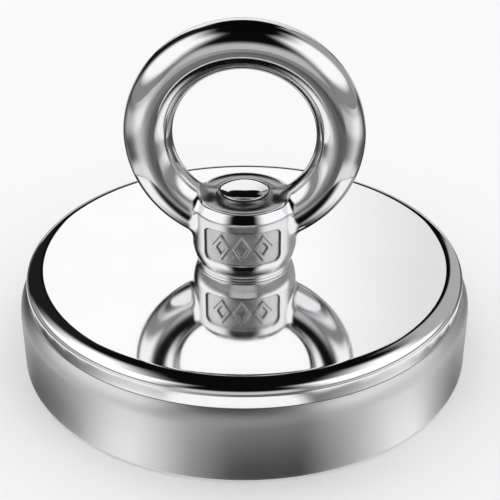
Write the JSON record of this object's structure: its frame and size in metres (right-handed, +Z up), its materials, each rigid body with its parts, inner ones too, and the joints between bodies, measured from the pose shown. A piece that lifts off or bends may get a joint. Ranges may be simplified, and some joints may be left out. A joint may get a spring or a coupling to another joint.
{
  "type": "magnet fishing magnet",
  "caption": "Round pot magnet with a mirror-bright closed end and a threaded ring eye at its centre, for lifting steel out of water on a rope.",
  "frame": {"origin": "centre of the working face, on the plane of the pot's rim, which is the surface the part stands on", "axes": "+Z up along the thread towards the eye; the eye's hole faces along Y, and its panel faces -Y; the ring lies in the XZ plane"},
  "size_m": [0.067, 0.067, 0.052],
  "materials": {
    "nickel_plated_steel": "mirror nickel on the closed end and corner, satin nickel on the side wall",
    "turned_steel": "turned and tapped, nickel plated",
    "nickel_plated_magnet": "ground and nickel plated",
    "adhesive": "cured glue",
    "potting": "cured black potting resin",
    "stainless_washer": "punched and tumbled",
    "polished_stainless": "cast and polished bright",
    "turned_stainless": "turned, with a polished head"
  },
  "bodies": {
    "pot": {"steel_cup": "nickel_plated_steel", "threaded_hub": "turned_steel", "ring_magnet": "nickel_plated_magnet", "adhesive_layer": "adhesive", "outer_potting": "potting", "inner_potting": "potting"},
    "washer": {"captive_washer": "stainless_washer"},
    "eye": {"lifting_eye": "polished_stainless", "eye_stud": "turned_stainless"}
  },
  "joints": [
    {"name": "eye_lift", "type": "slide", "parent": "pot", "child": "washer", "axis": [0, 0, 1], "range_m": [0, 0.01]},
    {"name": "eye_unscrew", "type": "hinge", "parent": "washer", "child": "eye", "pos_m": [0, 0, 0.015], "axis": [0, 0, 1], "range_deg": [0, 2880]}
  ],
  "couplings": [
    {"joint": "eye_lift", "follows": "eye_unscrew", "m_per_rad": 0.00019894}
  ]
}
